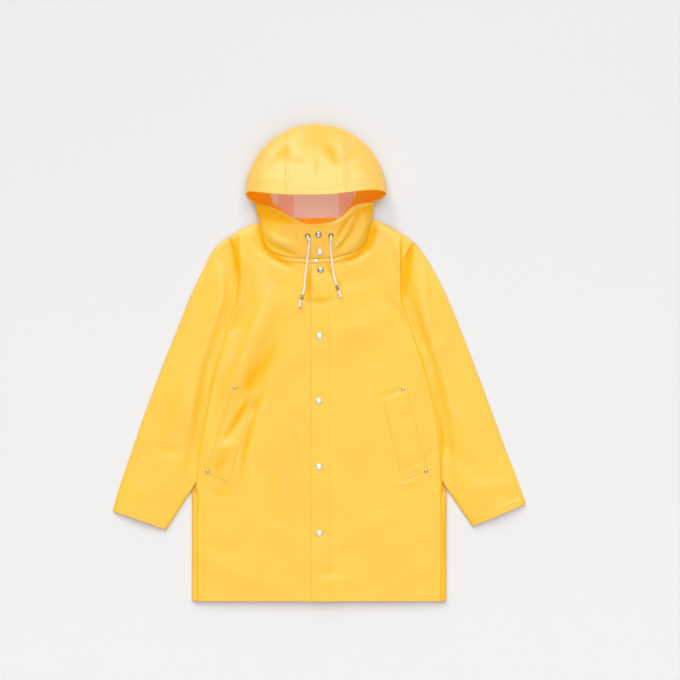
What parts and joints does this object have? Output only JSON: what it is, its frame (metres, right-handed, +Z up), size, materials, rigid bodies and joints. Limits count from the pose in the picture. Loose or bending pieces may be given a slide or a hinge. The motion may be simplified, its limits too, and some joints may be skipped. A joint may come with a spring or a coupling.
{
  "type": "hooded raincoat",
  "caption": "Hooded thigh-length raincoat of coated cloth laid flat on its back, with press-stud front, drawstring hood, slanted welt pockets and open cuffs.",
  "frame": {"origin": "centre of the coat's box in X and Y, on the surface that it lies on", "axes": "+Y from the hem to the top of the hood, +X to the right as seen from above, +Z up from the surface"},
  "size_m": [0.9506, 1.0969, 0.0987],
  "materials": {
    "coated_cloth": "smooth rubberised outer face, satin sheen",
    "facing_cloth": "coated cloth in shade, inside the hood",
    "press_stud_metal": "polished nickel",
    "cord": "braided cotton"
  },
  "bodies": {
    "root": {"back_panel": "coated_cloth", "front_left": "coated_cloth", "front_right": "coated_cloth", "sleeve_left": "coated_cloth", "sleeve_right": "coated_cloth", "hood_centre": "coated_cloth", "hood_side_left": "coated_cloth", "hood_side_right": "coated_cloth", "neck_band_left": "coated_cloth", "neck_band_right": "coated_cloth", "pocket_welt_left": "coated_cloth", "pocket_welt_right": "coated_cloth", "facing_brow": "facing_cloth", "facing_left": "facing_cloth", "facing_right": "facing_cloth", "back_neck_facing": "facing_cloth", "rivet_left_top": "press_stud_metal", "rivet_left_bottom": "press_stud_metal", "rivet_right_top": "press_stud_metal", "rivet_right_bottom": "press_stud_metal", "snap_1": "press_stud_metal", "snap_2": "press_stud_metal", "snap_3": "press_stud_metal", "snap_4": "press_stud_metal", "snap_5": "press_stud_metal", "snap_6": "press_stud_metal", "snap_7": "press_stud_metal", "snap_neck": "press_stud_metal", "eyelet_left": "press_stud_metal", "eyelet_right": "press_stud_metal", "cord_clip_left": "press_stud_metal", "cord_clip_right": "press_stud_metal", "cord_left": "cord", "cord_right": "cord", "cord_knot_left": "cord", "cord_knot_right": "cord"}
  },
  "joints": []
}
